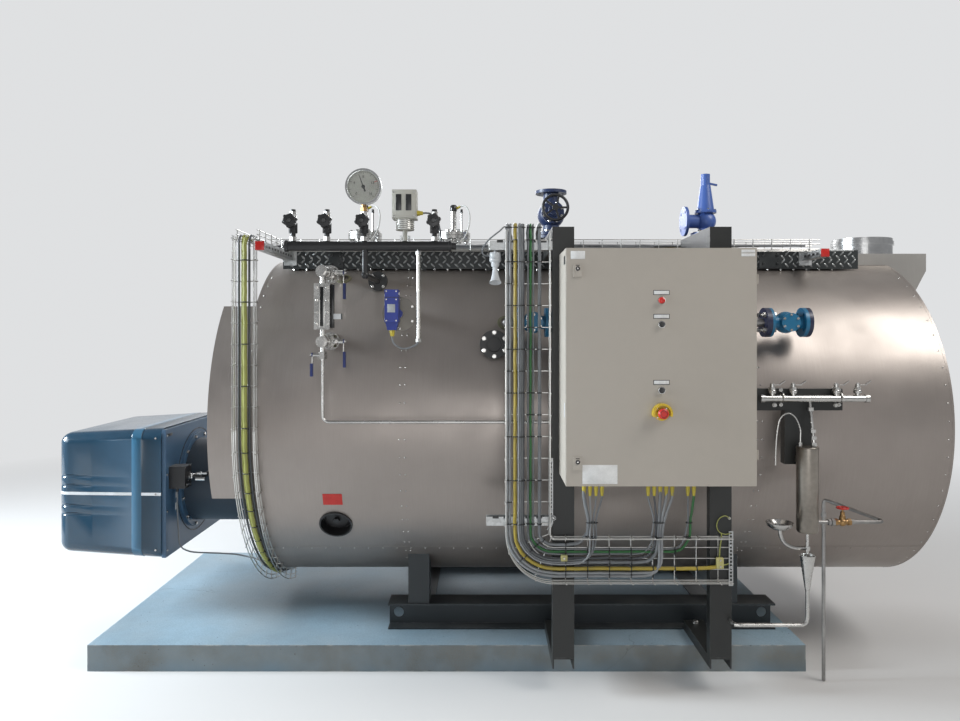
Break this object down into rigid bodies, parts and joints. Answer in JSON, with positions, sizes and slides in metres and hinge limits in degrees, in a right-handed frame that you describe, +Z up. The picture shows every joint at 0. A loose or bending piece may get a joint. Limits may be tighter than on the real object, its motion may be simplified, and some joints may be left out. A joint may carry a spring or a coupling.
{
  "type": "industrial steam boiler",
  "caption": "Horizontal clad steam boiler on a concrete plinth, with burner, valves, walkway, wire cable trays and a floor-standing control cabinet frame.",
  "frame": {"origin": "centre of the plinth's underside, at floor level", "axes": "+X along the boiler from the burner to the flue, -Y to the cabinet side, +Z up"},
  "size_m": [4.789, 2.2699, 2.565],
  "materials": {
    "concrete": "grey sealed concrete",
    "cladding": "satin warm grey cladding sheet",
    "vessel": "primed steel",
    "skid_paint": "satin dark grey",
    "frame_paint": "satin anthracite",
    "deck_plate": "dark chequer plate",
    "galvanised": "galvanised",
    "wire_zinc": "bright zinc wire",
    "black_iron": "black paint",
    "burner_blue": "gloss blue-grey",
    "burner_dark": "satin dark blue",
    "burner_grey": "heat-resisting grey",
    "black_plastic": "black",
    "hood_sheet": "satin grey",
    "flue_steel": "stainless",
    "bright_steel": "stainless",
    "gauge_case": "polished case",
    "instrument_grey": "light grey",
    "lever_blue": "dark blue sleeve",
    "transmitter_blue": "navy",
    "valve_blue": "cobalt blue",
    "valve_dark": "dark blue",
    "cabinet_grey": "light grey powder coat",
    "mounting_zinc": "zinc plated",
    "control_black": "black",
    "switch_red": "red",
    "gland_yellow": "yellow-green",
    "collar_yellow": "yellow",
    "cable_mixed": "cable sheath",
    "cable_grey": "grey sheath",
    "cable_green": "yellow-green sheath",
    "pipe_steel": "dull steel",
    "horn_white": "white"
  },
  "bodies": {
    "root": {"plinth": "concrete", "skid": "skid_paint", "pressure_vessel": "vessel", "shell_front_sheet": "cladding", "shell_middle_sheet": "cladding", "shell_rear_sheet": "cladding", "front_plate": "cladding", "rear_plate": "cladding", "smoke_box": "cladding", "shell_fittings": "black_iron", "burner_tube": "burner_grey", "burner_panel": "burner_dark", "burner_hood": "burner_blue", "burner_actuator": "black_plastic", "flue_hood": "hood_sheet", "flue_collar": "flue_steel", "walkway": "deck_plate", "tray_arms": "galvanised", "gauge_manifold": "black_iron", "manifold_valves": "black_iron", "pressure_gauge": "gauge_case", "pressure_switch": "instrument_grey", "water_gauge": "bright_steel", "drain_pipe": "bright_steel", "level_transmitter": "transmitter_blue", "level_probes": "bright_steel", "steam_valve": "valve_dark", "safety_valve": "valve_blue", "posts": "frame_paint", "base_rails": "frame_paint", "top_beams": "frame_paint", "cabinet": "cabinet_grey", "cabinet_plate": "mounting_zinc", "cable_glands": "gland_yellow", "tray_riser": "wire_zinc", "tray_lower": "wire_zinc", "tray_rim": "wire_zinc", "tray_top": "wire_zinc", "cables_riser": "cable_mixed", "cables_cabinet": "cable_grey", "cables_rim": "cable_green", "feed_pipe": "pipe_steel", "feed_valves": "valve_blue", "sample_bracket": "frame_paint", "sample_pipes": "bright_steel", "sample_cooler": "bright_steel", "horn": "horn_white"},
    "door": {"cabinet_door": "cabinet_grey", "door_controls": "control_black", "stop_collar": "collar_yellow"},
    "stop_head": {"stop_button": "switch_red"},
    "steam_handwheel": {"steam_wheel": "valve_dark"},
    "water_lever_top": {"lever_water_top": "lever_blue"},
    "water_lever_low": {"lever_water_low": "lever_blue"},
    "water_lever_drain": {"lever_water_drain": "lever_blue"},
    "sample_handle_1": {"sample_lever_1": "bright_steel"},
    "sample_handle_2": {"sample_lever_2": "bright_steel"},
    "sample_handle_3": {"sample_lever_3": "bright_steel"},
    "sample_handle_4": {"sample_lever_4": "bright_steel"}
  },
  "joints": [
    {"name": "door_hinge", "type": "hinge", "parent": "root", "child": "door", "pos_m": [1.3355, -1.326, 1.53], "axis": [0, 0, 1], "range_deg": [0, 120]},
    {"name": "stop_press", "type": "slide", "parent": "door", "child": "stop_head", "axis": [0, 1, 0], "range_m": [0, 0.005]},
    {"name": "steam_wheel_turn", "type": "hinge", "parent": "root", "child": "steam_handwheel", "pos_m": [0.584, -0.29, 2.374], "axis": [0, 1, 0], "continuous": true},
    {"name": "water_top_turn", "type": "hinge", "parent": "root", "child": "water_lever_top", "pos_m": [-0.4907, -0.88, 1.96], "axis": [-1, 0, 0], "range_deg": [0, 90]},
    {"name": "water_low_turn", "type": "hinge", "parent": "root", "child": "water_lever_low", "pos_m": [-0.4907, -0.88, 1.632], "axis": [-1, 0, 0], "range_deg": [0, 90]},
    {"name": "water_drain_turn", "type": "hinge", "parent": "root", "child": "water_lever_drain", "pos_m": [-0.6133, -0.98, 1.57], "axis": [-1, 0, 0], "range_deg": [0, 90]},
    {"name": "sample_turn_1", "type": "hinge", "parent": "root", "child": "sample_handle_1", "pos_m": [1.499, -1.06, 1.4343], "axis": [0, 0, -1], "range_deg": [0, 90]},
    {"name": "sample_turn_2", "type": "hinge", "parent": "root", "child": "sample_handle_2", "pos_m": [1.595, -1.06, 1.4343], "axis": [0, 0, -1], "range_deg": [0, 90]},
    {"name": "sample_turn_3", "type": "hinge", "parent": "root", "child": "sample_handle_3", "pos_m": [1.791, -1.06, 1.4343], "axis": [0, 0, -1], "range_deg": [0, 90]},
    {"name": "sample_turn_4", "type": "hinge", "parent": "root", "child": "sample_handle_4", "pos_m": [1.889, -1.06, 1.4343], "axis": [0, 0, -1], "range_deg": [0, 90]}
  ]
}
